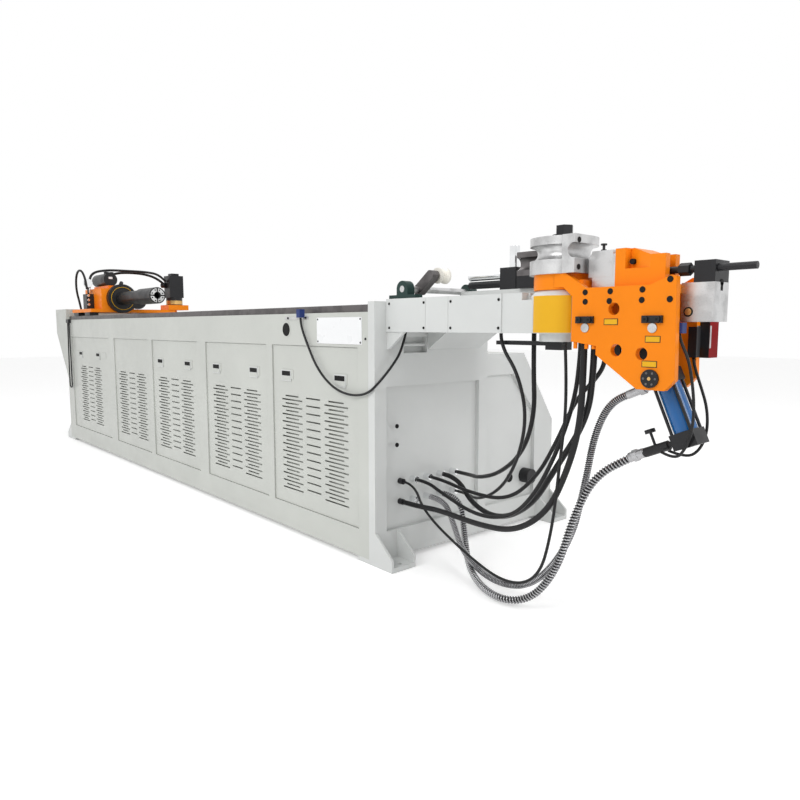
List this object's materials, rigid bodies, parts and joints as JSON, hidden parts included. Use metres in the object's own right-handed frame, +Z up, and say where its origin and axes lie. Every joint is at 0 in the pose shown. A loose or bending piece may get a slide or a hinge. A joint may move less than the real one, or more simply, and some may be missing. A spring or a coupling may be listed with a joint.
{
  "type": "tube bending machine",
  "caption": "Tube bending machine: a long louvred bed, a chuck carriage that slides on rails, and a bend head with a swinging clamp arm, bend die and pressure die.",
  "frame": {"origin": "on the floor under the middle of the machine's outer size", "axes": "+X along the bed towards the bend head, +Y away from the louvred door side, +Z up"},
  "size_m": [5.763, 1.172, 1.3824],
  "materials": {
    "cabinet_paint": "satin",
    "plate_paint": "satin",
    "orange_paint": "gloss",
    "black_metal": "satin",
    "machined_steel": "satin",
    "dark_steel": "satin",
    "bright_chrome": "polished",
    "box_red": "satin",
    "cylinder_blue": "gloss",
    "bearing_green": "satin",
    "nylon": "satin",
    "sensor_blue": "satin",
    "hose_rubber": "matt",
    "hose_grey": "matt"
  },
  "bodies": {
    "bed": {"bed_cabinet": "cabinet_paint", "louvred_panels": "cabinet_paint", "side_cabinet": "cabinet_paint", "front_plate": "plate_paint", "rear_plate": "cabinet_paint", "tail_box": "cabinet_paint", "bed_feet": "plate_paint", "guide_rails": "machined_steel", "head_beam": "plate_paint", "spindle_column": "plate_paint", "encoder_bar": "black_metal", "beam_cover_plates": "plate_paint", "beam_brackets": "plate_paint", "die_table": "plate_paint", "boost_block": "black_metal", "boost_cylinders": "cylinder_blue", "pillow_blocks": "bearing_green", "roller_shaft": "machined_steel", "hose_fittings": "bright_chrome", "home_sensor": "sensor_blue", "grey_hose": "hose_grey", "coil_hose": "hose_rubber", "arm_hose": "hose_rubber", "tall_hose": "hose_rubber", "beam_hose": "hose_rubber"},
    "pressure_die_slide": {"pressure_die": "dark_steel", "pressure_die_holder": "black_metal"},
    "roller_lever": {"roller_arm": "dark_steel"},
    "roller": {"support_roller": "nylon"},
    "bend_arm": {"bend_die": "machined_steel", "grip_insert": "machined_steel", "die_nut": "black_metal", "arm_hub": "orange_paint", "arm_plate_near": "orange_paint", "arm_plate_far": "orange_paint", "arm_cross_plates": "orange_paint", "arm_pins": "machined_steel", "pin_retainers": "black_metal", "end_block": "machined_steel", "terminal_box": "box_red", "arm_switches": "sensor_blue", "cylinder_ends": "black_metal", "cylinder_tube": "cylinder_blue", "flow_valve": "black_metal"},
    "clamp_carrier": {"clamp_slide": "orange_paint", "clamp_die": "machined_steel", "clamp_die_holder": "machined_steel", "clamp_screw": "black_metal"},
    "carriage": {"saddle": "orange_paint", "headstock": "orange_paint", "spindle_cover": "black_metal", "spin_motor": "black_metal", "feed_drive": "orange_paint", "feed_servo": "black_metal", "valve_block": "bright_chrome"},
    "chuck": {"quill": "black_metal", "chuck_body": "black_metal", "chuck_jaws": "machined_steel"}
  },
  "joints": [
    {"name": "carriage_feed", "type": "slide", "parent": "bed", "child": "carriage", "axis": [1, 0, 0], "range_m": [0, 2.6]},
    {"name": "chuck_spin", "type": "hinge", "parent": "carriage", "child": "chuck", "pos_m": [-1.4515, -0.321, 1.175], "axis": [1, 0, 0], "continuous": true},
    {"name": "bend_swing", "type": "hinge", "parent": "bed", "child": "bend_arm", "pos_m": [2.2995, -0.423, 1.0633], "axis": [0, 0, 1], "range_deg": [-90, 90], "deforming": ["grey_hose", "coil_hose", "arm_hose", "tall_hose"]},
    {"name": "clamp_travel", "type": "slide", "parent": "bend_arm", "child": "clamp_carrier", "axis": [1, 0, 0], "range_m": [-0.004, 0.011]},
    {"name": "pressure_die_travel", "type": "slide", "parent": "bed", "child": "pressure_die_slide", "axis": [0, -1, 0], "range_m": [0, 0.04]},
    {"name": "roller_tilt", "type": "hinge", "parent": "bed", "child": "roller_lever", "pos_m": [1.6285, -0.402, 1.0947], "axis": [0, 1, 0], "range_deg": [-40, 35]},
    {"name": "roller_spin", "type": "hinge", "parent": "roller_lever", "child": "roller", "pos_m": [1.69718, -0.373, 1.14646], "axis": [0, 1, 0], "continuous": true}
  ]
}
